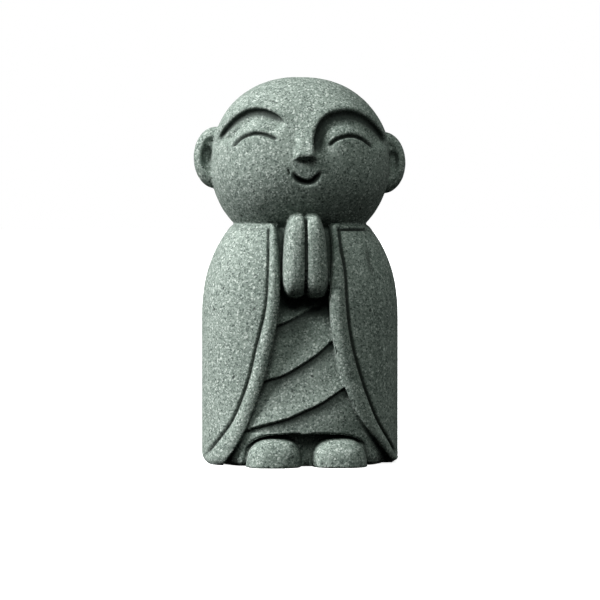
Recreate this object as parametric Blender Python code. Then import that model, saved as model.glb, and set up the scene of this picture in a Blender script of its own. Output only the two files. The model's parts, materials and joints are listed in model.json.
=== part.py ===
"""Monk figurine: a small standing monk cast in one from a fine speckled stone mix.

Metres. +Z up, the figure faces -Y and +X is to the viewer's right.
The origin is the centre of the underside.
"""
import bpy
import numpy as np
from math import cos, pi, sin

# Overall sizes
HEIGHT = 0.0650
DEPTH = 0.0300
EAR_SPREAD = 0.0360

# Head
HEAD_WIDTH = 0.0302
HEAD_DEPTH = 0.0276
HEAD_RISE = 0.0151
HEAD_DROP = 0.0143
HEAD_SINK = 0.0048
EAR_HEIGHT = 0.0105
EAR_THICKNESS = 0.0042
EAR_DROP = 0.0008
NOSE_WIDTH = 0.0037
NOSE_PROJECTION = 0.0016
BROW_DEPTH = 0.0015
BROW_FALL = 0.0011
EYE_LINE_WIDTH = 0.0007
EYE_LINE_DEPTH = 0.0007
MOUTH_WIDTH = 0.0049
MOUTH_DROP = 0.0030
MOUTH_LINE_WIDTH = 0.0009
MOUTH_LINE_DEPTH = 0.0011

# Cloak and robe
BODY_WIDTH = 0.0332
COLLAR_ROUND = 0.0008
COLLAR_BAND = 0.0011
BASE_ROUND = 0.0021
OPENING_WIDTH = 0.0086
OPENING_FLARE = 0.0100
CLOAK_STEP = 0.0030
HOLLOW_DEPTH = 0.0026
BAND_WIDTH = 0.0021
BAND_ROUND = 0.0004
SEAM_WIDTH = 0.0007
SEAM_DEPTH = 0.0006
FOLD_DEPTH = 0.0007
FOLD_REACH = 0.0020
DRAPE_WIDTH = 0.0026
DRAPE_DEPTH = 0.0004
HEM_HEIGHT = 0.0055

# Hands and feet
HANDS_WIDTH = 0.0075
HANDS_HEIGHT = 0.0138
HANDS_DEPTH = 0.0095
HANDS_REACH = 0.0010
HANDS_OVERLAP = 0.0013
HANDS_LEAN = 0.04
FOOT_WIDTH = 0.0092
FOOT_HEIGHT = 0.0049
FOOT_LENGTH = 0.0100
FOOT_GAP = 0.0018
FEET_SHIFT = 0.0003
TOE_REACH = 0.0012

# Fineness of the solid
GRAIN = 0.00027
TRIANGLES = 9700

# Values that follow from the sizes
HEAD_Z = HEIGHT - HEAD_RISE
COLLAR_HEIGHT = HEAD_Z - HEAD_DROP + HEAD_SINK
BODY_DEPTH = DEPTH - TOE_REACH
FACE_X = HEAD_WIDTH / 2
FACE_Z = HEAD_RISE
BODY_Y = TOE_REACH / 2
BODY_FRONT = BODY_Y - BODY_DEPTH / 2
HEAD_Y = BODY_Y - 0.0002
WAIST_Z = 0.668 * COLLAR_HEIGHT
HEM_HALF = FOOT_GAP / 2 + FOOT_WIDTH + 0.0001
HEM_SQUARE = 3.6
LEFT_SEAM = 0.45

# Drawn lines of the face, left then right, as shares of half the head's width and of its rise above its middle
BROWS = [
    [(-0.20, 0.445), (-0.28, 0.51), (-0.36, 0.562), (-0.44, 0.595), (-0.52, 0.607), (-0.60, 0.600), (-0.68, 0.570),
     (-0.76, 0.515), (-0.83, 0.445), (-0.90, 0.350), (-0.94, 0.25)],
    [(0.095, 0.06), (0.105, 0.20), (0.125, 0.34), (0.175, 0.46), (0.27, 0.542), (0.40, 0.580), (0.52, 0.582),
     (0.64, 0.552), (0.76, 0.480), (0.86, 0.385), (0.93, 0.29), (0.97, 0.20)],
]
EYES = [
    [(-0.80, 0.200), (-0.70, 0.297), (-0.567, 0.345), (-0.43, 0.330), (-0.30, 0.270)],
    [(0.24, 0.198), (0.35, 0.282), (0.505, 0.320), (0.64, 0.290), (0.78, 0.195)],
]
# The smile and the dimple beside it, both ways as shares of the smile's width
MOUTH = [(-0.46, 0.36), (-0.29, 0.125), (0.0, 0.0), (0.24, 0.045), (0.45, 0.265), (0.548, 0.42)]
DIMPLE = [(-0.585, 0.42), (-0.55, 0.30)]
# The cloak's opening, left (-1) and right (1): share of the collar's height, of the flare and of the border's width
OPENING = {
    -1: [(0.0, 0.92, 1.90), (0.1, 0.675, 1.68), (0.2, 0.475, 1.37), (0.35, 0.260, 1.30), (0.5, 0.112, 1.32),
         (0.65, 0.008, 1.12), (0.8, -0.009, 0.97), (1.0, 0.015, 0.70)],
    1: [(0.0, 1.10, 0.70), (0.1, 0.800, 1.03), (0.2, 0.478, 1.43), (0.35, 0.180, 1.70), (0.5, 0.034, 1.55),
        (0.65, -0.037, 1.47), (0.8, -0.004, 1.16), (0.9, 0.014, 0.76), (1.0, -0.02, 0.82)],
}
# Dip in the right panel and folds of the robe, as shares of half the body's width and of the collar's height
PANEL_DIP = [(0.64, 0.93), (0.66, 0.84), (0.72, 0.75)]
FOLDS = [
    [(-0.28, 0.573), (-0.17, 0.590), (-0.05, 0.616), (0.08, 0.646), (0.24, 0.668)],
    [(-0.46, 0.343), (-0.36, 0.354), (-0.22, 0.371), (-0.05, 0.410), (0.11, 0.453), (0.26, 0.504), (0.32, 0.526)],
    [(-0.53, 0.156), (-0.35, 0.177), (-0.18, 0.196), (-0.01, 0.226), (0.15, 0.256), (0.28, 0.289), (0.46, 0.337)],
]
# Drapes of the back, as shares of half the body's width
DRAPES = (-0.62, -0.22, 0.24, 0.60)


def clear_scene():
    for old in list(bpy.data.objects):
        bpy.data.objects.remove(old, do_unlink=True)


def smoothstep(low, high, value):
    t = np.clip((value - low) / (high - low), 0.0, 1.0)
    return t * t * (3.0 - 2.0 * t)


def spline(points, steps=6):
    """Points along a smooth curve through the given ones."""
    p = np.array(points, dtype=float)
    ends = np.vstack([2 * p[0] - p[1], p, 2 * p[-1] - p[-2]])
    out = []
    for i in range(len(p) - 1):
        a, b, c, d = ends[i:i + 4]
        for k in range(steps):
            t = k / steps
            bend = (2 * a - 5 * b + 4 * c - d) * t ** 2 + (3 * b - a - 3 * c + d) * t ** 3
            out.append(0.5 * (2 * b + (c - a) * t + bend))
    out.append(p[-1])
    return np.array(out)


def to_line(x, z, line):
    """Distance to a line in the front view, signed positive on its left, and the share of the way along it."""
    best = np.full(x.shape, np.inf)
    side = np.ones(x.shape)
    along = np.zeros(x.shape)
    lengths = np.hypot(*(line[1:] - line[:-1]).T)
    total = lengths.sum()
    run = 0.0
    for start, end, length in zip(line[:-1], line[1:], lengths):
        dx, dz = (end - start) / length
        rx, rz = x - start[0], z - start[1]
        t = np.clip(rx * dx + rz * dz, 0.0, length)
        gap = np.hypot(rx - t * dx, rz - t * dz)
        near = gap < best
        best = np.where(near, gap, best)
        side = np.where(near, np.where(dx * rz - dz * rx >= 0.0, 1.0, -1.0), side)
        along = np.where(near, (run + t) / total, along)
        run += length
    return best * side, along


def groove(gap, width, depth):
    return -depth * np.exp(-(gap / (0.5 * width)) ** 2)


def taper(along, head, tail):
    return smoothstep(0.0, head, along) * smoothstep(0.0, tail, 1.0 - along)


def add_object(name, verts, faces):
    mesh = bpy.data.meshes.new(name)
    mesh.from_pydata([tuple(v) for v in verts], [], faces)
    mesh.update()
    obj = bpy.data.objects.new(name, mesh)
    bpy.context.collection.objects.link(obj)
    return obj


def loft(name, rings):
    """A closed skin through rings that are listed from the bottom up, each counter-clockwise from above."""
    count = len(rings[0])
    verts = [p for ring in rings for p in ring]
    faces = [tuple(reversed(range(count)))]
    for i in range(len(rings) - 1):
        low, high = i * count, (i + 1) * count
        for k in range(count):
            n = (k + 1) % count
            faces.append((low + k, low + n, high + n, high + k))
    top = (len(rings) - 1) * count
    faces.append(tuple(range(top, top + count)))
    return add_object(name, verts, faces)


def oval(half_x, half_y, centre_y, z, power, count):
    ring = []
    for k in range(count):
        a = 2 * pi * (k + 0.5) / count
        c, s = cos(a), sin(a)
        r = (abs(c) ** power + abs(s) ** power) ** (-1 / power)
        ring.append((half_x * r * c, centre_y + half_y * r * s, z))
    return ring


def pebble(name, centre, half, plan, side, lean=0.0, narrow=0.0, count=64, levels=40):
    """A rounded block: half sizes, the squareness of its plan and side, a sideways lean and a narrowing top."""
    rings = []
    for i in range(1, levels):
        a = -pi / 2 + pi * i / levels
        c, s = cos(a), sin(a)
        r = (c ** side + abs(s) ** side) ** (-1 / side)
        rise = half[2] * r * s
        wide = r * c * (1.0 - narrow * r * s)
        ring = oval(half[0] * wide, half[1] * r * c, 0.0, 0.0, plan, count)
        rings.append([(centre[0] + x - lean * rise, centre[1] + y, centre[2] + rise) for x, y, _ in ring])
    return loft(name, rings)


def prism(name, outline, front, back):
    """A block through the front view: an outline of (x, z) points, counter-clockwise as seen from the front."""
    count = len(outline)
    verts = [(x, front, z) for x, z in outline] + [(x, back, z) for x, z in outline]
    faces = [tuple(range(count)), tuple(reversed(range(count, 2 * count)))]
    for k in range(count):
        n = (k + 1) % count
        faces.append((k, k + count, n + count, n))
    return add_object(name, verts, faces)


def cut(obj, cutter):
    cutter.hide_render = True
    cutter.display_type = "WIRE"
    mod = obj.modifiers.new("cut by " + cutter.name, "BOOLEAN")
    mod.operation = "DIFFERENCE"
    mod.solver = "EXACT"
    mod.object = cutter


def settled(obj):
    """The mesh as its modifiers leave it."""
    graph = bpy.context.evaluated_depsgraph_get()
    graph.update()
    return bpy.data.meshes.new_from_object(obj.evaluated_get(graph))


def shoulder(z):
    """How far the body has narrowed at a height, as a share of its full width."""
    start = 0.594 * COLLAR_HEIGHT
    reach = 0.527 * COLLAR_HEIGHT
    t = max(0.0, (z - start) / reach)
    return (1.0 - min(t, 0.98) ** 2.3) ** 0.5


def inset(z):
    """How far the rounded collar and the rounded foot of the body draw in at a height."""
    top = max(0.0, z - (COLLAR_HEIGHT - COLLAR_ROUND))
    low = max(0.0, 0.75 * BASE_ROUND - z)
    top_in = COLLAR_ROUND - max(0.0, COLLAR_ROUND ** 2 - top ** 2) ** 0.5
    low_in = BASE_ROUND - max(0.0, BASE_ROUND ** 2 - low ** 2) ** 0.5
    return top_in + low_in


def opening(z, side):
    """At a height, the distance from the middle to the edge of the cloak's opening, and its border's width."""
    shares = spline(OPENING[side])
    level = np.asarray(z) / COLLAR_HEIGHT
    edge = OPENING_WIDTH / 2 + OPENING_FLARE * np.interp(level, shares[:, 0], shares[:, 1])
    return edge, BAND_WIDTH * np.interp(level, shares[:, 0], shares[:, 2])


def seam_line(side):
    """The groove beside the cloak's border, as a line of distances from the middle and heights."""
    heights = np.linspace(COLLAR_HEIGHT - COLLAR_BAND, 0.04 * COLLAR_HEIGHT, 44)
    edge, border = opening(heights, side)
    return np.column_stack([edge + border, heights])


def brow_fall(along, side):
    """Height of the step under a brow, swelling towards its middle."""
    return BROW_FALL * (1.0 + 0.12 * side) * (0.44 - 0.06 * along + 0.6 * np.sin(pi * along))


def make_head():
    """The ball of the head, with the brow ledge, the eye sockets and the nose raised on it."""
    rings = []
    levels = 130
    for i in range(1, levels):
        a = -pi / 2 + pi * i / levels
        c, s = cos(a), sin(a)
        power = 2.2 if s > 0 else 2.0
        rise = HEAD_RISE if s > 0 else HEAD_DROP
        r = (c ** power + abs(s) ** power) ** (-1 / power)
        deep = HEAD_DEPTH / 2 * (1.0 - (0.14 * s * s if s < 0 else 0.0))
        rings.append(oval(HEAD_WIDTH / 2 * r * c, deep * r * c, HEAD_Y, HEAD_Z + rise * r * s, 2.3, 240))
    shape = np.array(rings)
    x, y, z = shape[..., 0], shape[..., 1], shape[..., 2]
    away = shape - np.array([0.0, HEAD_Y, HEAD_Z])
    away /= np.linalg.norm(away, axis=-1)[..., None]
    front = smoothstep(0.0, 0.25, -away[..., 1])
    lift = np.zeros(x.shape)
    for brow, side in zip(BROWS, (-1, 1)):
        line = spline([(side * u * FACE_X, HEAD_Z + v * FACE_Z) for u, v in brow])
        gap, along = to_line(side * x, z, line)
        fade = smoothstep(0.0, 0.10, 1.0 - along) * smoothstep(-0.02, 0.12, along) * (side * x > 0)
        ledge = np.clip((0.0001 - gap) / brow_fall(along, side), 0.0, 1.0) * np.exp(-(gap / (0.14 * FACE_X)) ** 2)
        rim = smoothstep(-0.0001, 0.0005, gap) * np.exp(-(gap / (0.12 * FACE_X)) ** 2)
        lift += BROW_DEPTH * fade * (0.22 * rim - ledge)
    down = (HEAD_Z + 0.50 * FACE_Z - z) / (0.46 * FACE_Z)
    tip = HEAD_Z + 0.080 * FACE_Z
    half = NOSE_WIDTH / 2 * (0.72 + 0.28 * np.clip(down, 0.0, 1.0) ** 2)
    ridge = np.clip(down, 0.0, 1.0) ** 1.3 * smoothstep(tip - 0.0007, tip + 0.0001, z)
    lift = lift + NOSE_PROJECTION * ridge * (1.0 - smoothstep(half - 0.0007, half + 0.0004, np.abs(x)))
    shape = shape + away * (lift * front)[..., None]
    return loft("head", [[tuple(p) for p in ring] for ring in shape])


def make_ear(name, side):
    """A rounded ear, its front dished inside a rim and sunk to a pocket beside the cheek."""
    reach = 0.36 * EAR_HEIGHT
    middle = HEAD_Z + 0.070 * FACE_Z - side * EAR_DROP / 2
    ear = pebble(name, (side * (EAR_SPREAD / 2 - reach), HEAD_Y, middle),
                 (reach, EAR_THICKNESS / 2, EAR_HEIGHT / 2), 2.2, 2.0, count=120, levels=80)
    for vert in ear.data.vertices:
        out = (EAR_SPREAD / 2 - side * vert.co.x) / EAR_HEIGHT
        up = (vert.co.z - middle) / EAR_HEIGHT
        dish = np.hypot((out - 0.30) / 0.20, (up - 0.03) / 0.33)
        pocket = np.hypot((out - 0.23) / 0.09, (up - 0.035) / 0.16)
        front = smoothstep(0.0, 0.15, (HEAD_Y - vert.co.y) / EAR_THICKNESS)
        sink = 0.17 * (1.0 - smoothstep(0.65, 1.05, dish)) + 0.19 * (1.0 - smoothstep(0.4, 1.15, pocket))
        vert.co.y += EAR_THICKNESS * front * sink
    return ear


def make_cloak():
    """The outer body, with its front opening cut down to the robe."""
    low, high = -0.25 * BASE_ROUND, COLLAR_HEIGHT
    heights = np.concatenate([np.linspace(low, BASE_ROUND, 8), np.linspace(0.0025, high - COLLAR_ROUND, 40),
                              np.linspace(high - 0.8 * COLLAR_ROUND, high, 6)])
    rings = []
    for z in heights:
        share, drawn = shoulder(z), inset(z)
        rings.append(oval(BODY_WIDTH / 2 * share - drawn, BODY_DEPTH / 2 * share - drawn, BODY_Y, z, 2.35, 180))
    cloak = loft("cloak", rings)
    levels = np.linspace(-0.004, COLLAR_HEIGHT + 0.002, 60)
    right = list(zip(opening(levels, 1)[0], levels))
    left = list(zip(-opening(levels, -1)[0], levels))[::-1]
    cut(cloak, prism("cloak opening", right + left, -DEPTH, -0.15 * BODY_DEPTH))
    return cloak


def make_robe():
    """The robe inside the cloak, set back behind its edge, with a hem arched over the feet."""
    rings = []
    for z in np.linspace(-0.0004, COLLAR_HEIGHT, 46):
        share, drawn = shoulder(z), inset(z)
        low = float(smoothstep(0.0, 0.8, 1.0 - z / WAIST_Z))
        under = (z - (COLLAR_HEIGHT + HANDS_OVERLAP - HANDS_HEIGHT)) / 0.0022
        rim = float(smoothstep(0.86, 1.0, z / COLLAR_HEIGHT))
        back = CLOAK_STEP * (1.0 - 0.85 * low - 0.6 * rim) + HOLLOW_DEPTH * np.exp(-under ** 2)
        rings.append(oval(BODY_WIDTH / 2 * share - drawn - 0.0016, BODY_DEPTH / 2 * share - drawn - back,
                          BODY_Y, z, 2.35, 160))
    robe = loft("robe", rings)
    bend = 2 / HEM_SQUARE
    left, right = FEET_SHIFT - HEM_HALF, FEET_SHIFT + HEM_HALF
    outline = [(left, -HEM_HEIGHT), (right, -HEM_HEIGHT)]
    for turn in np.linspace(0.0, pi, 41)[:-1]:
        across = abs(cos(turn)) ** bend * (1 if cos(turn) > 0 else -1)
        outline.append((FEET_SHIFT + HEM_HALF * across, HEM_HEIGHT * sin(turn) ** bend))
    outline.append((left, 0.0))
    cut(robe, prism("hem arch", outline, -DEPTH, -0.37 * BODY_DEPTH))
    return robe


def make_hand(name, side):
    width = 1.22 * HANDS_WIDTH / 4
    rise = HANDS_HEIGHT / 2
    centre = COLLAR_HEIGHT + HANDS_OVERLAP - rise
    return pebble(name, (side * (HANDS_WIDTH / 2 - width), BODY_FRONT - HANDS_REACH + HANDS_DEPTH / 2, centre),
                  (width, HANDS_DEPTH / 2, rise), 2.7, 3.2, side * HANDS_LEAN, 0.15)


def make_foot(name, side):
    rise = 0.95 * FOOT_HEIGHT
    across = FEET_SHIFT + side * (FOOT_GAP + FOOT_WIDTH) / 2
    centre = (across, BODY_FRONT - TOE_REACH + FOOT_LENGTH / 2, FOOT_HEIGHT - rise)
    return pebble(name, centre, (FOOT_WIDTH / 2, FOOT_LENGTH / 2, rise), 2.7, 2.7, 0.08 * side)


def inside_opening(x, z):
    """Where a point lies between the edges of the cloak's opening, in the front view."""
    edge = np.where(x < 0, opening(z, -1)[0], opening(z, 1)[0])
    return np.abs(x) < edge


def drawn_on_face(x, z, points):
    """Distance to a line given in shares of the face, and the share of the way along it."""
    return to_line(x, z, spline([(u * FACE_X, HEAD_Z + v * FACE_Z) for u, v in points]))


def face_lines(x, z):
    """The creases under the brows, the closed eyes and the smile."""
    depth = np.zeros(len(x))
    for brow, side in zip(BROWS, (-1, 1)):
        gap, along = drawn_on_face(x, z, brow)
        fall = brow_fall(along, side)
        depth += groove(-side * gap - 0.5 * fall, 1.3 * fall, 0.40 * BROW_DEPTH) * taper(along, 0.15, 0.14)
    for eye in EYES:
        gap, along = drawn_on_face(x, z, eye)
        depth += groove(gap, EYE_LINE_WIDTH, EYE_LINE_DEPTH) * taper(along, 0.10, 0.10)
    middle = HEAD_Z - MOUTH_DROP
    gap, along = to_line(x, z, spline([(u * MOUTH_WIDTH, middle + v * MOUTH_WIDTH) for u, v in MOUTH]))
    depth += groove(gap, MOUTH_LINE_WIDTH, MOUTH_LINE_DEPTH) * taper(along, 0.35, 0.35) ** 0.7
    gap, _ = to_line(x, z, spline([(u * MOUTH_WIDTH, middle + v * MOUTH_WIDTH) for u, v in DIMPLE]))
    return depth + groove(gap, 0.4 * MOUTH_LINE_WIDTH, 0.3 * MOUTH_LINE_DEPTH)


def cloak_lines(x, y, z, normal, front):
    """The rounded border beside the opening, its seam, the ring under the collar and the dip in one panel."""
    depth = np.zeros(len(x))
    upright = smoothstep(0.3, 0.6, np.hypot(normal[:, 0], normal[:, 1]))
    ring = groove(z - (COLLAR_HEIGHT - COLLAR_BAND), SEAM_WIDTH, SEAM_DEPTH) * upright * (z < COLLAR_HEIGHT)
    for side, strength in ((-1, LEFT_SEAM), (1, 1.0)):
        here = side * x > 0
        seam = seam_line(side)
        gap, along = to_line(side * x, z, seam)
        edge, border = opening(z, side)
        roll = np.sin(pi * np.clip(np.abs(gap) / border, 0.0, 1.0))
        depth += front * here * strength * groove(gap, SEAM_WIDTH, SEAM_DEPTH) * smoothstep(0.0, 0.03, 1.0 - along)
        depth += front * here * (side * x > edge) * (gap < 0.0) * BAND_ROUND * (1.6 * roll - 0.6)
        before = smoothstep(0.25, 0.55, -normal[:, 1]) * smoothstep(0.0, 0.0006, side * x - seam[0, 0]) * (y < 0)
        behind = smoothstep(-0.1, 0.5, normal[:, 1])
        depth += here * ring * (strength ** 2 * before + 0.25 * behind)
    gap, along = to_line(x, z, spline([(u * BODY_WIDTH / 2, v * COLLAR_HEIGHT) for u, v in PANEL_DIP]))
    return depth + front * groove(gap, 2.0 * SEAM_WIDTH, 0.4 * SEAM_DEPTH) * taper(along, 0.4, 0.4)


def robe_lines(x, y, z, front):
    """The crease that follows the hem over the feet, and the folds as steps of cloth."""
    share = np.abs((x - FEET_SHIFT) / HEM_HALF) ** HEM_SQUARE + np.abs(z / HEM_HEIGHT) ** HEM_SQUARE
    around = HEM_HEIGHT * (share ** (1 / HEM_SQUARE) - 1.0)
    beside = (np.abs(x) > FOOT_GAP / 2) * (y < -0.2 * DEPTH)
    depth = front * beside * groove(around, SEAM_WIDTH, 0.5 * SEAM_DEPTH)
    robe = front * inside_opening(x, z) * (z > HEM_HEIGHT + 0.0002) * (y > BODY_FRONT)
    for fold in FOLDS:
        gap, _ = to_line(x, z, spline([(u * BODY_WIDTH / 2, v * COLLAR_HEIGHT) for u, v in fold]))
        below = smoothstep(0.0, 0.0003, -gap) * np.exp(-(gap / FOLD_REACH) ** 2)
        above = smoothstep(0.0, 0.0003, gap) * np.exp(-(gap / (0.8 * FOLD_REACH)) ** 2)
        depth += robe * FOLD_DEPTH * (0.4 * above - 0.4 * below + 0.6 * groove(gap, 0.8 * SEAM_WIDTH, 1.0))
    return depth


def carved_lines(co, normal):
    """How far each point of the joined form is carved in along its normal."""
    x, y, z = co.T
    front = smoothstep(0.05, 0.35, -normal[:, 1]) * (y < 0)
    depth = front * (z > COLLAR_HEIGHT + 0.003) * (np.abs(x) < 0.97 * FACE_X) * face_lines(x, z)
    body = front * (z < COLLAR_HEIGHT - 0.3 * COLLAR_ROUND)
    depth += cloak_lines(x, y, z, normal, body) + robe_lines(x, y, z, body)

    top = COLLAR_HEIGHT + HANDS_OVERLAP
    palms = front * (y < BODY_FRONT - HANDS_REACH + 0.4 * HANDS_DEPTH) * (z < top) * (z > top - HANDS_HEIGHT)
    depth += palms * groove(x, 0.6 * SEAM_WIDTH, SEAM_DEPTH)

    drape_top = 0.86 * COLLAR_HEIGHT
    back = smoothstep(0.1, 0.6, normal[:, 1]) * smoothstep(0.004, 0.012, z) * (z < drape_top)
    fall = smoothstep(0.0, 1.0, 1.0 - z / drape_top)
    for share in DRAPES:
        track = share * BODY_WIDTH / 2 * (0.72 + 0.28 * fall)
        depth += back * fall * groove(x - track, DRAPE_WIDTH, DRAPE_DEPTH)
    return depth


def stone():
    material = bpy.data.materials.new("cast stone")
    material.use_nodes = True
    shader = material.node_tree.nodes["Principled BSDF"]
    shader.inputs["Base Color"].default_value = (0.22, 0.27, 0.235, 1.0)
    shader.inputs["Roughness"].default_value = 0.85
    return material


def main():
    clear_scene()
    masses = [make_head(), make_cloak(), make_robe()]
    for name, side in (("left", -1), ("right", 1)):
        masses.append(make_ear(name + " ear", side))
        masses.append(make_hand(name + " hand", side))
        masses.append(make_foot(name + " foot", side))

    verts, faces = [], []
    for mass in masses:
        mesh = settled(mass)
        start = len(verts)
        verts += [tuple(v.co) for v in mesh.vertices]
        faces += [tuple(start + i for i in p.vertices) for p in mesh.polygons]
    for old in list(bpy.data.objects):
        bpy.data.objects.remove(old, do_unlink=True)

    joined = add_object("joined masses", verts, faces)
    remesh = joined.modifiers.new("join", "REMESH")
    remesh.mode = "VOXEL"
    remesh.voxel_size = GRAIN
    soften = joined.modifiers.new("soften", "SMOOTH")
    soften.factor = 0.5
    soften.iterations = 3
    whole = settled(joined)
    bpy.data.objects.remove(joined, do_unlink=True)

    count = len(whole.vertices)
    co = np.zeros(count * 3)
    whole.vertices.foreach_get("co", co)
    normal = np.zeros(count * 3)
    whole.vertex_normals.foreach_get("vector", normal)
    co, normal = co.reshape(-1, 3), normal.reshape(-1, 3)
    co = co + normal * carved_lines(co, normal)[:, None]
    whole.vertices.foreach_set("co", co.ravel())
    whole.update()

    figure = bpy.data.objects.new("monk_figurine", whole)
    bpy.context.collection.objects.link(figure)
    whole.shade_smooth()
    whole.materials.clear()
    whole.materials.append(stone())
    thin = figure.modifiers.new("thin out", "DECIMATE")
    thin.ratio = TRIANGLES / (2 * len(whole.polygons))
    floor = prism("level underside", [(-HEIGHT, -HEIGHT), (HEIGHT, -HEIGHT), (HEIGHT, 0.0), (-HEIGHT, 0.0)],
                  -HEIGHT, HEIGHT)
    cut(figure, floor)


main()
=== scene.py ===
import json
from math import cos, pi, radians, sin

import bmesh
import bpy
import numpy as np
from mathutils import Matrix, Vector
from mathutils.bvhtree import BVHTree

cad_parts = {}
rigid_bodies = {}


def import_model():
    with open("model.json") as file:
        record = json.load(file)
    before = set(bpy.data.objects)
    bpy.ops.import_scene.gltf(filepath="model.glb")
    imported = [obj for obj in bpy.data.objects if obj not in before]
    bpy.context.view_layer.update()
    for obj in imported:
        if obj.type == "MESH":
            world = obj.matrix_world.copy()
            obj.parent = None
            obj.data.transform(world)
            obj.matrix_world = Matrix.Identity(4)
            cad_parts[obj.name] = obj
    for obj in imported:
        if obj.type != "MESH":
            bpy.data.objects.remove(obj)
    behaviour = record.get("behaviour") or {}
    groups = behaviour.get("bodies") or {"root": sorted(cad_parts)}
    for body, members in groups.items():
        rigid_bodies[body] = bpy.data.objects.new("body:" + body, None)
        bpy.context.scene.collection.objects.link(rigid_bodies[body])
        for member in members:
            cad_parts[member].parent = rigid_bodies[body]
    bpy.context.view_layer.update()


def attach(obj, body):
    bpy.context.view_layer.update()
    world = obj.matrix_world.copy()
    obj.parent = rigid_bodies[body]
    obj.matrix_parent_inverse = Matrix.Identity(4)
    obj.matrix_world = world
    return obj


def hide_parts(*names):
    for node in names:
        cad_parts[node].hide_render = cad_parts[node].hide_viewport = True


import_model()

# Metres. +Z up, the figure faces -Y and +X is to the viewer's right.
# The origin is the centre of the underside.

# Overall sizes
HEIGHT = 0.0650
DEPTH = 0.0300
EAR_SPREAD = 0.0360

# Head
HEAD_WIDTH = 0.0302
HEAD_DEPTH = 0.0276
HEAD_RISE = 0.0151
HEAD_DROP = 0.0143
HEAD_SINK = 0.0048
EAR_HEIGHT = 0.0105
EAR_THICKNESS = 0.0042
EAR_DROP = 0.0008
NOSE_WIDTH = 0.0037
NOSE_PROJECTION = 0.0016
BROW_DEPTH = 0.0015
BROW_FALL = 0.0011
EYE_LINE_WIDTH = 0.00052
EYE_LINE_DEPTH = 0.0007
MOUTH_WIDTH = 0.0049
MOUTH_DROP = 0.0030
MOUTH_LINE_WIDTH = 0.0007
MOUTH_LINE_DEPTH = 0.0011

# Cloak and robe
BODY_WIDTH = 0.0332
COLLAR_ROUND = 0.0008
COLLAR_BAND = 0.0011
BASE_ROUND = 0.0021
OPENING_WIDTH = 0.0086
OPENING_FLARE = 0.0100
CLOAK_STEP = 0.0030
HOLLOW_DEPTH = 0.0026
BAND_WIDTH = 0.0021
BAND_ROUND = 0.0004
SEAM_WIDTH = 0.00040
SEAM_DEPTH = 0.0006
FOLD_DEPTH = 0.0007
FOLD_REACH = 0.0020
DRAPE_WIDTH = 0.0026
DRAPE_DEPTH = 0.0004
HEM_HEIGHT = 0.0055
HEM_SQUARE = 3.6
LEFT_SEAM = 0.45
BODY_SQUARE = 2.35

# Hands and feet
HANDS_WIDTH = 0.0075
HANDS_HEIGHT = 0.0138
HANDS_DEPTH = 0.0095
HANDS_REACH = 0.0010
HANDS_OVERLAP = 0.0013
HANDS_LEAN = 0.04
FOOT_WIDTH = 0.0092
FOOT_HEIGHT = 0.0049
FOOT_LENGTH = 0.0100
FOOT_GAP = 0.0018
FEET_SHIFT = 0.0003
TOE_REACH = 0.0012

# Fineness of the carved surface
STEP = 0.00014
TRIANGLES = 192000
RAYS = 16

# Values that follow from the sizes
HEAD_Z = HEIGHT - HEAD_RISE
COLLAR_HEIGHT = HEAD_Z - HEAD_DROP + HEAD_SINK
BODY_DEPTH = DEPTH - TOE_REACH
FACE_X = HEAD_WIDTH / 2
FACE_Z = HEAD_RISE
BODY_Y = TOE_REACH / 2
BODY_FRONT = BODY_Y - BODY_DEPTH / 2
HEAD_Y = BODY_Y - 0.0002
WAIST_Z = 0.668 * COLLAR_HEIGHT
HEM_HALF = FOOT_GAP / 2 + FOOT_WIDTH + 0.0001

# Drawn lines of the face, left then right: shares of half the head's width and of its rise
BROWS = [
    [(-0.20, 0.445), (-0.28, 0.51), (-0.36, 0.562), (-0.44, 0.595), (-0.52, 0.607), (-0.60, 0.600),
     (-0.68, 0.570), (-0.76, 0.515), (-0.83, 0.445), (-0.90, 0.350), (-0.94, 0.25)],
    [(0.095, 0.06), (0.105, 0.20), (0.125, 0.34), (0.175, 0.46), (0.27, 0.542), (0.40, 0.580),
     (0.52, 0.582), (0.64, 0.552), (0.76, 0.480), (0.86, 0.385), (0.93, 0.29), (0.97, 0.20)],
]
EYES = [
    [(-0.80, 0.200), (-0.70, 0.297), (-0.567, 0.345), (-0.43, 0.330), (-0.30, 0.270)],
    [(0.24, 0.198), (0.35, 0.282), (0.505, 0.320), (0.64, 0.290), (0.78, 0.195)],
]
# The smile and the dimple beside it, both ways as shares of the smile's width
MOUTH = [(-0.46, 0.36), (-0.29, 0.125), (0.0, 0.0), (0.24, 0.045), (0.45, 0.265), (0.548, 0.42)]
DIMPLE = [(-0.585, 0.42), (-0.55, 0.30)]
# The cloak's opening, left (-1) and right (1), in rows of three shares:
# of the collar's height, of the flare and of the border's width
OPENING = {
    -1: [(0.0, 0.92, 1.90), (0.1, 0.675, 1.68), (0.2, 0.475, 1.37), (0.35, 0.260, 1.30), (0.5, 0.112, 1.32),
         (0.65, 0.008, 1.12), (0.8, -0.009, 0.97), (1.0, 0.015, 0.70)],
    1: [(0.0, 1.10, 0.70), (0.1, 0.800, 1.03), (0.2, 0.478, 1.43), (0.35, 0.180, 1.70), (0.5, 0.034, 1.55),
        (0.65, -0.037, 1.47), (0.8, -0.004, 1.16), (0.9, 0.014, 0.76), (1.0, -0.02, 0.82)],
}
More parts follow.
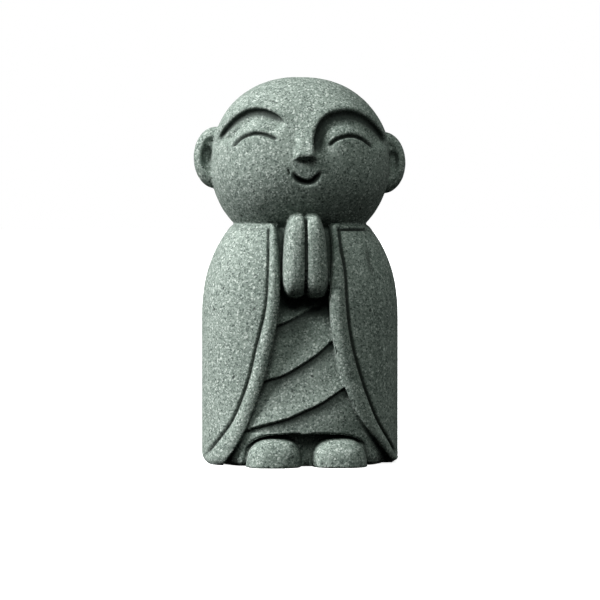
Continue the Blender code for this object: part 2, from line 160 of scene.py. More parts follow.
# Dip in the right panel and folds of the robe, as shares of half the body's width and of the collar's height
PANEL_DIP = [(0.64, 0.93), (0.66, 0.84), (0.72, 0.75)]
FOLDS = [
    [(-0.28, 0.573), (-0.17, 0.590), (-0.05, 0.616), (0.08, 0.646), (0.24, 0.668)],
    [(-0.46, 0.343), (-0.36, 0.354), (-0.22, 0.371), (-0.05, 0.410), (0.11, 0.453), (0.26, 0.504),
     (0.32, 0.526)],
    [(-0.53, 0.156), (-0.35, 0.177), (-0.18, 0.196), (-0.01, 0.226), (0.15, 0.256), (0.28, 0.289),
     (0.46, 0.337)],
]
# Drapes of the back, as shares of half the body's width
DRAPES = (-0.62, -0.22, 0.24, 0.60)

# The stone: scales of its textures per metre, how far they bend and stand, and its colours
GRAIN_SCALE = 2600.0
FINE_GRAIN_SCALE = 4800.0
PIT_SCALE = 620.0
CLOUD_SCALE = 110.0
DUST_SCALE = 1500.0
BEND_SCALE = 900.0
BEND_REACH = 0.0007
BUMP_HEIGHT = 0.00012
DAMP_BODY = (0.145, 0.184, 0.160, 1.0)
DRY_BODY = (0.205, 0.250, 0.220, 1.0)
DUST = (0.265, 0.315, 0.280, 1.0)
FINE_DARK_GRAIN = (0.080, 0.105, 0.092, 1.0)
FINE_PALE_GRAIN = (0.50, 0.56, 0.52, 1.0)
DARK_GRAIN = (0.055, 0.075, 0.065, 1.0)
PALE_GRAIN = (0.62, 0.68, 0.63, 1.0)
PIT = (0.03, 0.04, 0.035, 1.0)
# Painted shade for corners that the figure hems in
PAINTED_CORNER_SHADE = (0.030, 0.045, 0.036, 1.0)
# Painted shade for carved lines and the robe set back inside the cloak
PAINTED_CREASE_SHADE = (0.030, 0.040, 0.034, 1.0)
SKIN = {"Grain scale": 1500.0, "Grain height": 0.00007, "Wave scale": 220.0, "Wave height": 0.00010}
# The carved depth at which the painted shade of a line is full, the painted shade added on the set-back robe,
# and the reach of the rays that set the painted corner shade
RECESS_FULL = 0.00038
INNER_SHADE = 0.12
SHELTER_REACH = 0.010
SHELTER_LIFT = 0.00012

# Camera and lights
CAMERA_DISTANCE = 0.475
CAMERA_TURN = 4.2
CAMERA_HEIGHT = 0.040
CAMERA_TARGET = (0.0, 0.0, 0.0273)
SENSOR_WIDTH = 36.0
LENS = 168.5
KEY_PLACE = (-0.77, -0.19, 0.60)
KEY_POWER = 5.85
KEY_SPREAD = 26
SOFT_COLOUR = (0.92, 1.0, 0.94)
# Name, place, target, size and power of each soft light
SOFT_LIGHTS = [
    ("front fill", (-0.03, -0.58, 0.68), (0.0, 0.0, 0.03), 0.50, 2.6),
    ("side light", (0.38, 0.13, 0.05), (0.0, 0.0, 0.035), 0.30, 0.24),
]
SKY_BELOW = 0.005
SKY_ABOVE = 0.125
FLOOR_SIZE = 40.0
WHITE = (1.0, 1.0, 1.0, 1.0)


def smoothstep(low, high, value):
    """0 below low, 1 above high, smooth between."""
    t = np.clip((value - low) / (high - low), 0.0, 1.0)
    return t * t * (3.0 - 2.0 * t)


def spline(points, steps=6):
    """Points along a smooth curve through the given ones."""
    p = np.array(points, dtype=float)
    ends = np.vstack([2 * p[0] - p[1], p, 2 * p[-1] - p[-2]])
    out = []
    for i in range(len(p) - 1):
        a, b, c, d = ends[i:i + 4]
        for k in range(steps):
            t = k / steps
            bend = (2 * a - 5 * b + 4 * c - d) * t ** 2 + (3 * b - a - 3 * c + d) * t ** 3
            out.append(0.5 * (2 * b + (c - a) * t + bend))
    out.append(p[-1])
    return np.array(out)


def to_line(x, z, line):
    """Distance to a line in the front view, positive on its left, and the share of the way along it."""
    best = np.full(x.shape, np.inf)
    side = np.ones(x.shape)
    along = np.zeros(x.shape)
    lengths = np.hypot(*(line[1:] - line[:-1]).T)
    total = lengths.sum()
    run = 0.0
    for start, end, length in zip(line[:-1], line[1:], lengths):
        dx, dz = (end - start) / length
        rx, rz = x - start[0], z - start[1]
        t = np.clip(rx * dx + rz * dz, 0.0, length)
        gap = np.hypot(rx - t * dx, rz - t * dz)
        near = gap < best
        best = np.where(near, gap, best)
        side = np.where(near, np.where(dx * rz - dz * rx >= 0.0, 1.0, -1.0), side)
        along = np.where(near, (run + t) / total, along)
        run += length
    return best * side, along


def to_drawn(x, z, points, wide, high, middle=0.0):
    """The same for a curve whose points are shares of a width and of a height above a middle."""
    return to_line(x, z, spline([(u * wide, middle + v * high) for u, v in points]))


def groove(gap, width, depth):
    """The profile of a rounded groove at a distance from its middle."""
    return -depth * np.exp(-(gap / (0.5 * width)) ** 2)


def taper(along, head, tail):
    """Fades a line out over a share of its length at either end."""
    return smoothstep(0.0, head, along) * smoothstep(0.0, tail, 1.0 - along)


def add_object(name, verts, faces):
    mesh = bpy.data.meshes.new(name)
    mesh.from_pydata([tuple(v) for v in verts], [], faces)
    mesh.update()
    obj = bpy.data.objects.new(name, mesh)
    bpy.context.collection.objects.link(obj)
    return obj


def loft(name, rings):
    """A closed skin through rings that are listed from the bottom up, each counter-clockwise from above."""
    count = len(rings[0])
    verts = [p for ring in rings for p in ring]
    faces = [tuple(reversed(range(count)))]
    for i in range(len(rings) - 1):
        low, high = i * count, (i + 1) * count
        for k in range(count):
            n = (k + 1) % count
            faces.append((low + k, low + n, high + n, high + k))
    top = (len(rings) - 1) * count
    faces.append(tuple(range(top, top + count)))
    return add_object(name, verts, faces)


def oval(half_x, half_y, centre_y, z, power, count):
    """A level ring of points, squarer as its power grows."""
    ring = []
    for k in range(count):
        a = 2 * pi * (k + 0.5) / count
        c, s = cos(a), sin(a)
        r = (abs(c) ** power + abs(s) ** power) ** (-1 / power)
        ring.append((half_x * r * c, centre_y + half_y * r * s, z))
    return ring


def pebble(name, centre, half, plan, side, lean=0.0, narrow=0.0, count=64, levels=40):
    """A rounded block, with the squareness of its plan and side, a sideways lean and a narrower top."""
    rings = []
    for i in range(1, levels):
        a = -pi / 2 + pi * i / levels
        c, s = cos(a), sin(a)
        r = (c ** side + abs(s) ** side) ** (-1 / side)
        rise = half[2] * r * s
        wide = r * c * (1.0 - narrow * r * s)
        ring = oval(half[0] * wide, half[1] * r * c, 0.0, 0.0, plan, count)
        rings.append([(centre[0] + x - lean * rise, centre[1] + y, centre[2] + rise) for x, y, _ in ring])
    return loft(name, rings)


def prism(name, outline, front, back):
    """A block through the front view: (x, z) points, counter-clockwise as seen from the front."""
    count = len(outline)
    verts = [(x, front, z) for x, z in outline] + [(x, back, z) for x, z in outline]
    faces = [tuple(range(count)), tuple(reversed(range(count, 2 * count)))]
    for k in range(count):
        n = (k + 1) % count
        faces.append((k, k + count, n + count, n))
    return add_object(name, verts, faces)


def cut(obj, cutter):
    """Takes the cutter's volume away from an object."""
    mod = obj.modifiers.new("cut by " + cutter.name, "BOOLEAN")
    mod.operation = "DIFFERENCE"
    mod.solver = "EXACT"
    mod.object = cutter


def settled(obj):
    """The mesh as its modifiers leave it."""
    graph = bpy.context.evaluated_depsgraph_get()
    graph.update()
    return bpy.data.meshes.new_from_object(obj.evaluated_get(graph))


def shoulder(z):
    """How far the body has narrowed at a height, as a share of its full width."""
    start = 0.594 * COLLAR_HEIGHT
    reach = 0.527 * COLLAR_HEIGHT
    t = max(0.0, (z - start) / reach)
    return (1.0 - min(t, 0.98) ** 2.3) ** 0.5


def inset(z):
    """How far the rounded collar and the rounded foot of the body draw in at a height."""
    top = max(0.0, z - (COLLAR_HEIGHT - COLLAR_ROUND))
    low = max(0.0, 0.75 * BASE_ROUND - z)
    top_in = COLLAR_ROUND - max(0.0, COLLAR_ROUND ** 2 - top ** 2) ** 0.5
    low_in = BASE_ROUND - max(0.0, BASE_ROUND ** 2 - low ** 2) ** 0.5
    return top_in + low_in


def opening(z, side):
    """At a height, the distance from the middle to the cloak's edge, and the width of its border."""
    shares = spline(OPENING[side])
    level = np.asarray(z) / COLLAR_HEIGHT
    edge = OPENING_WIDTH / 2 + OPENING_FLARE * np.interp(level, shares[:, 0], shares[:, 1])
    return edge, BAND_WIDTH * np.interp(level, shares[:, 0], shares[:, 2])


def seam_line(side):
    """The groove beside the cloak's border, as a line of distances from the middle and heights."""
    heights = np.linspace(COLLAR_HEIGHT - COLLAR_BAND, 0.04 * COLLAR_HEIGHT, 44)
    edge, border = opening(heights, side)
    return np.column_stack([edge + border, heights])


def brow_fall(along, side):
    """Height of the step under a brow, swelling towards its middle."""
    return BROW_FALL * (1.0 + 0.12 * side) * (0.44 - 0.06 * along + 0.6 * np.sin(pi * along))


def make_head():
    """The ball of the head, with the brow ledge, the eye sockets and the nose raised on it."""
    rings = []
    levels = 130
    for i in range(1, levels):
        a = -pi / 2 + pi * i / levels
        c, s = cos(a), sin(a)
        power = 2.2 if s > 0 else 2.0
        rise = HEAD_RISE if s > 0 else HEAD_DROP
        r = (c ** power + abs(s) ** power) ** (-1 / power)
        deep = HEAD_DEPTH / 2 * (1.0 - (0.14 * s * s if s < 0 else 0.0))
        rings.append(oval(HEAD_WIDTH / 2 * r * c, deep * r * c, HEAD_Y, HEAD_Z + rise * r * s, 2.3, 240))
    shape = np.array(rings)
    x, y, z = shape[..., 0], shape[..., 1], shape[..., 2]
    away = shape - np.array([0.0, HEAD_Y, HEAD_Z])
    away /= np.linalg.norm(away, axis=-1)[..., None]
    front = smoothstep(0.0, 0.25, -away[..., 1])
    lift = np.zeros(x.shape)
    for brow, side in zip(BROWS, (-1, 1)):
        gap, along = to_drawn(side * x, z, brow, side * FACE_X, FACE_Z, HEAD_Z)
        fade = smoothstep(0.0, 0.10, 1.0 - along) * smoothstep(-0.02, 0.12, along) * (side * x > 0)
        step = np.clip((0.0001 - gap) / brow_fall(along, side), 0.0, 1.0)
        ledge = step * np.exp(-(gap / (0.14 * FACE_X)) ** 2)
        rim = smoothstep(-0.0001, 0.0005, gap) * np.exp(-(gap / (0.12 * FACE_X)) ** 2)
        lift += BROW_DEPTH * fade * (0.22 * rim - ledge)
    down = (HEAD_Z + 0.50 * FACE_Z - z) / (0.46 * FACE_Z)
    tip = HEAD_Z + 0.080 * FACE_Z
    half = NOSE_WIDTH / 2 * (0.72 + 0.28 * np.clip(down, 0.0, 1.0) ** 2)
    ridge = np.clip(down, 0.0, 1.0) ** 1.3 * smoothstep(tip - 0.0007, tip + 0.0001, z)
    lift = lift + NOSE_PROJECTION * ridge * (1.0 - smoothstep(half - 0.0007, half + 0.0004, np.abs(x)))
    shape = shape + away * (lift * front)[..., None]
    return loft("head", [[tuple(p) for p in ring] for ring in shape])


def make_ear(name, side):
    """A rounded ear, its front dished inside a rim and sunk to a pocket beside the cheek."""
    reach = 0.36 * EAR_HEIGHT
    middle = HEAD_Z + 0.070 * FACE_Z - side * EAR_DROP / 2
    ear = pebble(name, (side * (EAR_SPREAD / 2 - reach), HEAD_Y, middle),
                 (reach, EAR_THICKNESS / 2, EAR_HEIGHT / 2), 2.2, 2.0, count=120, levels=80)
    for vert in ear.data.vertices:
        out = (EAR_SPREAD / 2 - side * vert.co.x) / EAR_HEIGHT
        up = (vert.co.z - middle) / EAR_HEIGHT
        dish = np.hypot((out - 0.30) / 0.20, (up - 0.03) / 0.33)
        pocket = np.hypot((out - 0.23) / 0.09, (up - 0.035) / 0.16)
        front = smoothstep(0.0, 0.15, (HEAD_Y - vert.co.y) / EAR_THICKNESS)
        sink = 0.17 * (1.0 - smoothstep(0.65, 1.05, dish)) + 0.19 * (1.0 - smoothstep(0.4, 1.15, pocket))
        vert.co.y += EAR_THICKNESS * front * sink
    return ear


def make_cloak():
    """The outer body, with its front opening cut down to the robe."""
    low, high = -0.25 * BASE_ROUND, COLLAR_HEIGHT
    heights = np.concatenate([np.linspace(low, BASE_ROUND, 8), np.linspace(0.0025, high - COLLAR_ROUND, 40),
                              np.linspace(high - 0.8 * COLLAR_ROUND, high, 6)])
    rings = []
    for z in heights:
        share, drawn = shoulder(z), inset(z)
        half_x = BODY_WIDTH / 2 * share - drawn
        half_y = BODY_DEPTH / 2 * share - drawn
        rings.append(oval(half_x, half_y, BODY_Y, z, BODY_SQUARE, 180))
    cloak = loft("cloak", rings)
    levels = np.linspace(-0.004, COLLAR_HEIGHT + 0.002, 60)
    right = list(zip(opening(levels, 1)[0], levels))
    left = list(zip(-opening(levels, -1)[0], levels))[::-1]
    cut(cloak, prism("cloak opening", right + left, -DEPTH, -0.15 * BODY_DEPTH))
    return cloak


def make_robe():
    """The robe inside the cloak, set back behind its edge, with a hem arched over the feet."""
    rings = []
    for z in np.linspace(-0.0004, COLLAR_HEIGHT, 46):
        share, drawn = shoulder(z), inset(z)
        low = float(smoothstep(0.0, 0.8, 1.0 - z / WAIST_Z))
        under = (z - (COLLAR_HEIGHT + HANDS_OVERLAP - HANDS_HEIGHT)) / 0.0022
        rim = float(smoothstep(0.86, 1.0, z / COLLAR_HEIGHT))
        back = CLOAK_STEP * (1.0 - 0.85 * low - 0.6 * rim) + HOLLOW_DEPTH * np.exp(-under ** 2)
        half_x = BODY_WIDTH / 2 * share - drawn - 0.0016
        half_y = BODY_DEPTH / 2 * share - drawn - back
        rings.append(oval(half_x, half_y, BODY_Y, z, BODY_SQUARE, 160))
    robe = loft("robe", rings)
    bend = 2 / HEM_SQUARE
    left, right = FEET_SHIFT - HEM_HALF, FEET_SHIFT + HEM_HALF
    outline = [(left, -HEM_HEIGHT), (right, -HEM_HEIGHT)]
    for turn in np.linspace(0.0, pi, 41)[:-1]:
        across = abs(cos(turn)) ** bend * (1 if cos(turn) > 0 else -1)
        outline.append((FEET_SHIFT + HEM_HALF * across, HEM_HEIGHT * sin(turn) ** bend))
    outline.append((left, 0.0))
    cut(robe, prism("hem arch", outline, -DEPTH, -0.37 * BODY_DEPTH))
    return robe


def make_hand(name, side):
    """One of the two pressed palms, sunk into the other at the middle."""
    width = 1.22 * HANDS_WIDTH / 4
    rise = HANDS_HEIGHT / 2
    deep = BODY_FRONT - HANDS_REACH + HANDS_DEPTH / 2
    centre = (side * (HANDS_WIDTH / 2 - width), deep, COLLAR_HEIGHT + HANDS_OVERLAP - rise)
    return pebble(name, centre, (width, HANDS_DEPTH / 2, rise), 2.7, 3.2, side * HANDS_LEAN, 0.15)


def make_foot(name, side):
    """A rounded foot that reaches below the floor, where the underside is cut flat."""
    rise = 0.95 * FOOT_HEIGHT
    across = FEET_SHIFT + side * (FOOT_GAP + FOOT_WIDTH) / 2
    centre = (across, BODY_FRONT - TOE_REACH + FOOT_LENGTH / 2, FOOT_HEIGHT - rise)
    return pebble(name, centre, (FOOT_WIDTH / 2, FOOT_LENGTH / 2, rise), 2.7, 2.7, 0.08 * side)


def inside_opening(x, z):
    """Where a point lies between the edges of the cloak's opening, in the front view."""
    edge = np.where(x < 0, opening(z, -1)[0], opening(z, 1)[0])
    return np.abs(x) < edge


def face_lines(x, z):
    """The creases under the brows, the closed eyes, the smile and the dimple beside it."""
    depth = np.zeros(len(x))
    for brow, side in zip(BROWS, (-1, 1)):
        gap, along = to_drawn(x, z, brow, FACE_X, FACE_Z, HEAD_Z)
        fall = brow_fall(along, side)
        depth += groove(-side * gap - 0.5 * fall, 1.3 * fall, 0.40 * BROW_DEPTH) * taper(along, 0.15, 0.14)
    for eye in EYES:
        gap, along = to_drawn(x, z, eye, FACE_X, FACE_Z, HEAD_Z)
        depth += groove(gap, EYE_LINE_WIDTH, EYE_LINE_DEPTH) * taper(along, 0.10, 0.10)
    middle = HEAD_Z - MOUTH_DROP
    gap, along = to_drawn(x, z, MOUTH, MOUTH_WIDTH, MOUTH_WIDTH, middle)
    depth += groove(gap, MOUTH_LINE_WIDTH, MOUTH_LINE_DEPTH) * taper(along, 0.35, 0.35) ** 0.7
    gap, _ = to_drawn(x, z, DIMPLE, MOUTH_WIDTH, MOUTH_WIDTH, middle)
    return depth + groove(gap, 0.4 * MOUTH_LINE_WIDTH, 0.3 * MOUTH_LINE_DEPTH)


def cloak_lines(x, y, z, normal, front):
    """The rounded border beside the opening, its seam, the ring under the collar and the dip in one panel."""
    depth = np.zeros(len(x))
    upright = smoothstep(0.3, 0.6, np.hypot(normal[:, 0], normal[:, 1]))
    ring = groove(z - (COLLAR_HEIGHT - COLLAR_BAND), SEAM_WIDTH, SEAM_DEPTH) * upright * (z < COLLAR_HEIGHT)
    for side, strength in ((-1, LEFT_SEAM), (1, 1.0)):
        here = side * x > 0
        seam = seam_line(side)
        gap, along = to_line(side * x, z, seam)
        edge, border = opening(z, side)
        roll = np.sin(pi * np.clip(np.abs(gap) / border, 0.0, 1.0))
        ending = smoothstep(0.0, 0.03, 1.0 - along)
        depth += front * here * strength * groove(gap, SEAM_WIDTH, SEAM_DEPTH) * ending
        depth += front * here * (side * x > edge) * (gap < 0.0) * BAND_ROUND * (1.6 * roll - 0.6)
        beyond = smoothstep(0.0, 0.0006, side * x - seam[0, 0])
        before = smoothstep(0.25, 0.55, -normal[:, 1]) * beyond * (y < 0)
        behind = smoothstep(-0.1, 0.5, normal[:, 1])
        depth += here * ring * (strength ** 2 * before + 0.25 * behind)
    gap, along = to_drawn(x, z, PANEL_DIP, BODY_WIDTH / 2, COLLAR_HEIGHT)
    return depth + front * groove(gap, 2.0 * SEAM_WIDTH, 0.4 * SEAM_DEPTH) * taper(along, 0.4, 0.4)


def robe_lines(x, y, z, front):
    """The crease that follows the hem over the feet, and the folds as steps of cloth."""
    share = np.abs((x - FEET_SHIFT) / HEM_HALF) ** HEM_SQUARE + np.abs(z / HEM_HEIGHT) ** HEM_SQUARE
    around = HEM_HEIGHT * (share ** (1 / HEM_SQUARE) - 1.0)
    beside = (np.abs(x) > FOOT_GAP / 2) * (y < -0.2 * DEPTH)
    depth = front * beside * groove(around, SEAM_WIDTH, 0.5 * SEAM_DEPTH)
    robe = front * inside_opening(x, z) * (z > HEM_HEIGHT + 0.0002) * (y > BODY_FRONT)
    for fold in FOLDS:
        gap, _ = to_drawn(x, z, fold, BODY_WIDTH / 2, COLLAR_HEIGHT)
        below = smoothstep(0.0, 0.0003, -gap) * np.exp(-(gap / FOLD_REACH) ** 2)
        above = smoothstep(0.0, 0.0003, gap) * np.exp(-(gap / (0.8 * FOLD_REACH)) ** 2)
        depth += robe * FOLD_DEPTH * (0.4 * above - 0.4 * below + 0.6 * groove(gap, 0.8 * SEAM_WIDTH, 1.0))
    return depth


def carved_lines(co, normal):
    """How far each point of the joined form is carved in along its normal."""
    x, y, z = co.T
    front = smoothstep(0.05, 0.35, -normal[:, 1]) * (y < 0)
    depth = front * (z > COLLAR_HEIGHT + 0.003) * (np.abs(x) < 0.97 * FACE_X) * face_lines(x, z)
    body = front * (z < COLLAR_HEIGHT - 0.3 * COLLAR_ROUND)
    depth += cloak_lines(x, y, z, normal, body) + robe_lines(x, y, z, body)

    top = COLLAR_HEIGHT + HANDS_OVERLAP
    palms = front * (y < BODY_FRONT - HANDS_REACH + 0.4 * HANDS_DEPTH) * (z < top) * (z > top - HANDS_HEIGHT)
    depth += palms * groove(x, 0.6 * SEAM_WIDTH, SEAM_DEPTH)

    drape_top = 0.86 * COLLAR_HEIGHT
    back = smoothstep(0.1, 0.6, normal[:, 1]) * smoothstep(0.004, 0.012, z) * (z < drape_top)
    fall = smoothstep(0.0, 1.0, 1.0 - z / drape_top)
    for share in DRAPES:
        track = share * BODY_WIDTH / 2 * (0.72 + 0.28 * fall)
        depth += back * fall * groove(x - track, DRAPE_WIDTH, DRAPE_DEPTH)
    return depth


class Wire:
    """A socket of a material or geometry tree, with arithmetic that adds its nodes."""

    def __init__(self, tree, socket):
        self.tree = tree
        self.socket = socket

    def _math(self, operation, first, second):
        return self.tree.node("ShaderNodeMath", {"operation": operation}, {0: first, 1: second})[0]

    def __add__(self, other):
        return self._math("ADD", self, other)

    __radd__ = __add__

    def __sub__(self, other):
        return self._math("SUBTRACT", self, other)

    def __rsub__(self, other):
        return self._math("SUBTRACT", other, self)

    def __mul__(self, other):
        return self._math("MULTIPLY", self, other)

    __rmul__ = __mul__

    def above(self, low, high):
        """0 below low, 1 above high, smooth between."""
        settings = {"interpolation_type": "SMOOTHSTEP"}
        values = {"Value": self, "From Min": low, "From Max": high}
        return self.tree.node("ShaderNodeMapRange", settings, values)[0]

    def below(self, low, high):
        """1 below low, 0 above high, smooth between."""
        return 1.0 - self.above(low, high)


class Tree:
    """A node tree that is written as expressions."""

    def __init__(self, tree):
        self.tree = tree

    def node(self, kind, settings=None, values=None):
        """Adds a node, sets its settings, then its sockets, and gives its outputs back as wires."""
        made = self.tree.nodes.new(kind)
        for name, value in (settings or {}).items():
            setattr(made, name, value)
        for name, value in (values or {}).items():
            if isinstance(value, Wire):
                self.tree.links.new(value.socket, made.inputs[name])
            else:
                made.inputs[name].default_value = value
        return [Wire(self, out) for out in made.outputs]

    def mix(self, factor, first, second):
        """A colour between the first and the second, by a factor from 0 to 1."""
        return self.node("ShaderNodeMix", {"data_type": "RGBA"}, {0: factor, 6: first, 7: second})[2]

    def noise(self, place, scale, detail, roughness=0.5):
        """A noise texture's value and its colour."""
        values = {"Vector": place, "Scale": scale, "Detail": detail, "Roughness": roughness}
        return self.node("ShaderNodeTexNoise", None, values)[:2]


def cast_stone():
    """Fine grey-green stone mix: pale and dark grains and small pits, with shade painted into the carved
    lines, the set-back robe and hemmed-in corners.
    """
    material = bpy.data.materials.new("speckled cast stone")
    material.use_nodes = True
    material.node_tree.nodes.clear()
    tree = Tree(material.node_tree)
    place = tree.node("ShaderNodeTexCoord")[3]
    bend = tree.noise(place, BEND_SCALE, 2.0)[1]
    shift = tree.node("ShaderNodeVectorMath", {"operation": "SCALE"}, {0: bend, 3: BEND_REACH})[0]
    bent = tree.node("ShaderNodeVectorMath", {"operation": "ADD"}, {0: place, 1: shift})[0]

    def grains(scale):
        """Distance to the middle of the nearest grain, and a draw from 0 to 1 for each grain."""
        near, colour = tree.node("ShaderNodeTexVoronoi", None, {"Vector": bent, "Scale": scale})[:2]
        return near, tree.node("ShaderNodeSeparateColor", None, {0: colour})[0]

    near, draw = grains(GRAIN_SCALE)
    fine_near, fine_draw = grains(FINE_GRAIN_SCALE)
    pit_near, pit_draw = grains(PIT_SCALE)
    cloud = tree.noise(place, CLOUD_SCALE, 4.0)[0]
    dust = tree.noise(place, DUST_SCALE, 6.0, 0.7)[0]
    painted_recess_shade = tree.node("ShaderNodeAttribute", {"attribute_name": "painted_recess_shade"})[2]
    painted_shade_share = tree.node("ShaderNodeAttribute", {"attribute_name": "painted_shade_share"})[2]

    pale = draw.above(0.80, 0.90) * near.below(0.30, 0.62)
    dark = draw.below(0.12, 0.23) * near.below(0.30, 0.62)
    fine_pale = fine_draw.above(0.78, 0.92) * 0.58
    fine_dark = fine_draw.below(0.12, 0.25) * 0.75
    pits = pit_draw.above(0.90, 0.94) * pit_near.below(0.10, 0.22)

    body = tree.mix(cloud.above(0.35, 0.65), DAMP_BODY, DRY_BODY)
    body = tree.mix(dust.above(0.40, 0.62) * 0.85, body, DUST)
    body = tree.mix(fine_dark, body, FINE_DARK_GRAIN)
    body = tree.mix(fine_pale, body, FINE_PALE_GRAIN)
    body = tree.mix(dark * 0.85, body, DARK_GRAIN)
    body = tree.mix(pale * 0.66, body, PALE_GRAIN)
    body = tree.mix(pits * 0.8, body, PIT)
    # Painted shade: darker where nearby parts of the figure hem a point in
    body = tree.mix(painted_shade_share.above(0.20, 0.85) * 0.85, body, PAINTED_CORNER_SHADE)
    # Painted shade in the carved lines and on the set-back robe
    body = tree.mix(painted_recess_shade * 0.92, body, PAINTED_CREASE_SHADE)

    relief = dust * 0.5 + near.below(0.1, 0.7) * 0.35 + fine_near.below(0.1, 0.7) * 0.2 - pits * 1.4
    bump = tree.node("ShaderNodeBump", None, {"Strength": 0.55, "Distance": BUMP_HEIGHT, "Height": relief})[0]
    rough = 0.86 + (dust - 0.5) * 0.25 - pale * 0.18
    surface = tree.node("ShaderNodeBsdfPrincipled", None, {
        "Base Color": body, "Roughness": rough, "Normal": bump, "Specular IOR Level": 0.35})[0]
    tree.node("ShaderNodeOutputMaterial", None, {"Surface": surface})
    return material


def pale_floor():
    """A matt white with a glow of its own, so that the floor renders near white."""
    material = bpy.data.materials.new("pale floor")
    material.use_nodes = True
    shader = material.node_tree.nodes["Principled BSDF"]
    shader.inputs["Base Color"].default_value = (0.90, 0.90, 0.90, 1.0)
    shader.inputs["Roughness"].default_value = 0.8
    shader.inputs["Emission Color"].default_value = WHITE
    shader.inputs["Emission Strength"].default_value = 0.85
    return material


def stone_skin(material):
    """A tree that roughens a carved surface along its normals, as a cast grain does."""
    group = bpy.data.node_groups.new("stone skin", "GeometryNodeTree")
    face = group.interface
    face.new_socket("Geometry", in_out="INPUT", socket_type="NodeSocketGeometry")
    for name in ("Grain scale", "Grain height", "Wave scale", "Wave height"):
        face.new_socket(name, in_out="INPUT", socket_type="NodeSocketFloat")
    face.new_socket("Geometry", in_out="OUTPUT", socket_type="NodeSocketGeometry")
    tree = Tree(group)
    shape, grain_scale, grain_height, wave_scale, wave_height = tree.node("NodeGroupInput")[:5]
    place = tree.node("GeometryNodeInputPosition")[0]
    normal = tree.node("GeometryNodeInputNormal")[0]
    grain = tree.noise(place, grain_scale, 2.0)[0]
    wave = tree.noise(place, wave_scale, 2.0)[0]
    rise = (grain - 0.75) * grain_height + (wave - 0.75) * wave_height
    offset = tree.node("ShaderNodeVectorMath", {"operation": "SCALE"}, {0: normal, 3: rise})[0]
    moved = tree.node("GeometryNodeSetPosition", None, {"Geometry": shape, "Offset": offset})[0]
    whole = tree.node("GeometryNodeRealizeInstances", None, {"Geometry": moved})[0]
    worn = tree.node("GeometryNodeSetMaterial", None, {"Geometry": whole, "Material": material})[0]
    tree.node("NodeGroupOutput", None, {"Geometry": worn})
    return group


def set_inputs(modifier, values):
    """Sets a geometry modifier's inputs by their sockets' identifiers."""
    for item in modifier.node_group.interface.items_tree:
        if item.in_out == "INPUT" and item.name in values:
            modifier[item.identifier] = values[item.name]


def join_masses(kept):
    """Builds every mass, keeps only the given objects beside them, and joins the masses into one skin."""
    masses = [make_head(), make_cloak(), make_robe()]
    for name, side in (("left", -1), ("right", 1)):
        masses.append(make_ear(name + " ear", side))
        masses.append(make_hand(name + " hand", side))
        masses.append(make_foot(name + " foot", side))
    verts, faces = [], []
    for mass in masses:
        mesh = settled(mass)
        start = len(verts)
        verts += [tuple(v.co) for v in mesh.vertices]
        faces += [tuple(start + i for i in p.vertices) for p in mesh.polygons]
    for old in [o for o in bpy.data.objects if o.name not in kept]:
        bpy.data.objects.remove(old, do_unlink=True)
    joined = add_object("joined masses", verts, faces)
    remesh = joined.modifiers.new("join", "REMESH")
    remesh.mode = "VOXEL"
    remesh.voxel_size = STEP
    soften = joined.modifiers.new("soften", "SMOOTH")
    soften.factor = 0.5
    soften.iterations = 4
    whole = settled(joined)
    bpy.data.objects.remove(joined, do_unlink=True)
    return whole


def carve(whole):
    """Carves the drawn lines in and keeps each point's depth as a share of painted shade, a little more on
    the set-back robe.
    """
    count = len(whole.vertices)
    co = np.zeros(count * 3)
    whole.vertices.foreach_get("co", co)
    normal = np.zeros(count * 3)
    whole.vertex_normals.foreach_get("vector", normal)
    co, normal = co.reshape(-1, 3), normal.reshape(-1, 3)
    depth = carved_lines(co, normal)
    co = co + normal * depth[:, None]
    whole.vertices.foreach_set("co", co.ravel())
    # Painted shade: carved lines and the robe set back inside the opening are darkened by this share
    painted_recess_shade = whole.attributes.new("painted_recess_shade", "FLOAT", "POINT")
    x, y, z = co.T
    set_back = (y < 0.0) & (y > BODY_FRONT + 0.0002)
    inner = inside_opening(x, z) & set_back & (z < COLLAR_HEIGHT) & (z > HEM_HEIGHT)
    painted_recess_shade.data.foreach_set("value", np.clip(-depth / RECESS_FULL + INNER_SHADE * inner, 0.0, 1.0))
    whole.update()


def level_underside(mesh):
    """Cuts the form off at the floor and closes it with a flat underside."""
    work = bmesh.new()
    work.from_mesh(mesh)
    parts = list(work.verts) + list(work.edges) + list(work.faces)
    found = bmesh.ops.bisect_plane(work, geom=parts, plane_co=(0, 0, 0), plane_no=(0, 0, 1), clear_inner=True)
    rim = [part for part in found["geom_cut"] if isinstance(part, bmesh.types.BMEdge)]
    bmesh.ops.triangle_fill(work, edges=rim, use_beauty=True, normal=(0, 0, -1))
    work.to_mesh(mesh)
    work.free()
    mesh.update()


def shelter(mesh):
    """For each point, the share of the rays off its surface that meet the figure nearby, which sets its
    painted corner shade.
    """
    points = [v.co.copy() for v in mesh.vertices]
    tree = BVHTree.FromPolygons(points, [tuple(p.vertices) for p in mesh.polygons])
    rays = []
    for k in range(RAYS):
        lift = ((k + 0.5) / RAYS) ** 0.5
        turn = k * pi * (3.0 - 5.0 ** 0.5)
        flat = (1.0 - lift * lift) ** 0.5
        rays.append((flat * cos(turn), flat * sin(turn), lift))
    shares = []
    for vertex in mesh.vertices:
        normal = vertex.normal
        across = normal.orthogonal().normalized()
        up = normal.cross(across)
        start = vertex.co + normal * SHELTER_LIFT
        met = 0
        for a, b, c in rays:
            hit = tree.ray_cast(start, across * a + up * b + normal * c, SHELTER_REACH)[0]
            met += hit is not None
        shares.append(met / RAYS)
    return np.array(shares)


def finished(obj):
    """Turns an object's modifiers into its mesh."""
    mesh = settled(obj)
    obj.modifiers.clear()
    obj.data = mesh
    return obj


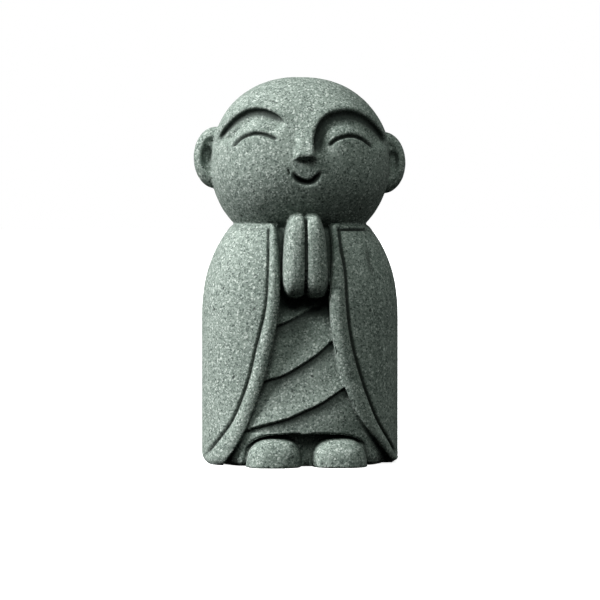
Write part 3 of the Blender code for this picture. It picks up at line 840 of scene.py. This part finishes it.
def aim(obj, target):
    """Turns a camera or light towards a point."""
    obj.rotation_euler = (Vector(target) - obj.location).to_track_quat("-Z", "Y").to_euler()


def placed(name, data, place, target):
    """A camera or light in the scene, aimed at a point."""
    obj = bpy.data.objects.new(name, data)
    bpy.context.collection.objects.link(obj)
    obj.location = place
    aim(obj, target)
    return obj


def set_camera():
    """A long lens, a few degrees to the left and a little above the middle of the figure."""
    lens = bpy.data.cameras.new("camera")
    lens.sensor_width = SENSOR_WIDTH
    lens.lens = LENS
    lens.clip_start = 0.01
    turn = radians(CAMERA_TURN)
    place = (-CAMERA_DISTANCE * sin(turn), -CAMERA_DISTANCE * cos(turn), CAMERA_HEIGHT)
    bpy.context.scene.camera = placed("camera", lens, place, CAMERA_TARGET)


def set_lights():
    """A wide sun from the upper left, and round soft lights."""
    key = bpy.data.lights.new("key light", "SUN")
    key.energy = KEY_POWER
    key.angle = radians(KEY_SPREAD)
    placed("key light", key, KEY_PLACE, (0.0, 0.0, 0.0))
    for name, place, target, size, power in SOFT_LIGHTS:
        lamp = bpy.data.lights.new(name, "AREA")
        lamp.shape = "DISK"
        lamp.size = size
        lamp.energy = power
        lamp.color = SOFT_COLOUR
        placed(name, lamp, place, target)


def set_world():
    """White to the camera, and a faint light that grows towards the sky."""
    world = bpy.data.worlds.new("studio")
    world.use_nodes = True
    air = world.node_tree
    tree = Tree(air)
    seen = tree.node("ShaderNodeLightPath")[0]
    height = tree.node("ShaderNodeSeparateXYZ", None, {0: tree.node("ShaderNodeTexCoord")[0]})[2]
    strength = seen + (1.0 - seen) * (SKY_BELOW + SKY_ABOVE * height.above(-0.1, 0.6))
    air.links.new(strength.socket, air.nodes["Background"].inputs["Strength"])
    air.nodes["Background"].inputs["Color"].default_value = WHITE
    bpy.context.scene.world = world
    bpy.context.scene.view_settings.view_transform = "Standard"


kept = {o.name for o in bpy.data.objects}
stone = cast_stone()
carved = join_masses(kept)
carve(carved)
level_underside(carved)
monk = bpy.data.objects.new("carved_monk", carved)
bpy.context.collection.objects.link(monk)
carved.shade_smooth()
thin = monk.modifiers.new("thin out", "DECIMATE")
thin.ratio = TRIANGLES / (2 * len(carved.polygons))
finished(monk)
# Painted shade: each point's share of rays that meet the figure nearby darkens its colour
painted_shade_share = monk.data.attributes.new("painted_shade_share", "FLOAT", "POINT")
painted_shade_share.data.foreach_set("value", shelter(monk.data))
skin = monk.modifiers.new("stone skin", "NODES")
skin.node_group = stone_skin(stone)
set_inputs(skin, SKIN)
finished(monk)

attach(monk, "root")
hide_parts("monk_figurine")

bpy.ops.mesh.primitive_plane_add(size=FLOOR_SIZE)
ground = bpy.context.object
ground.name = "floor"
ground.data.materials.append(pale_floor())
ground.visible_diffuse = False
ground.visible_glossy = False

set_camera()
set_lights()
set_world()
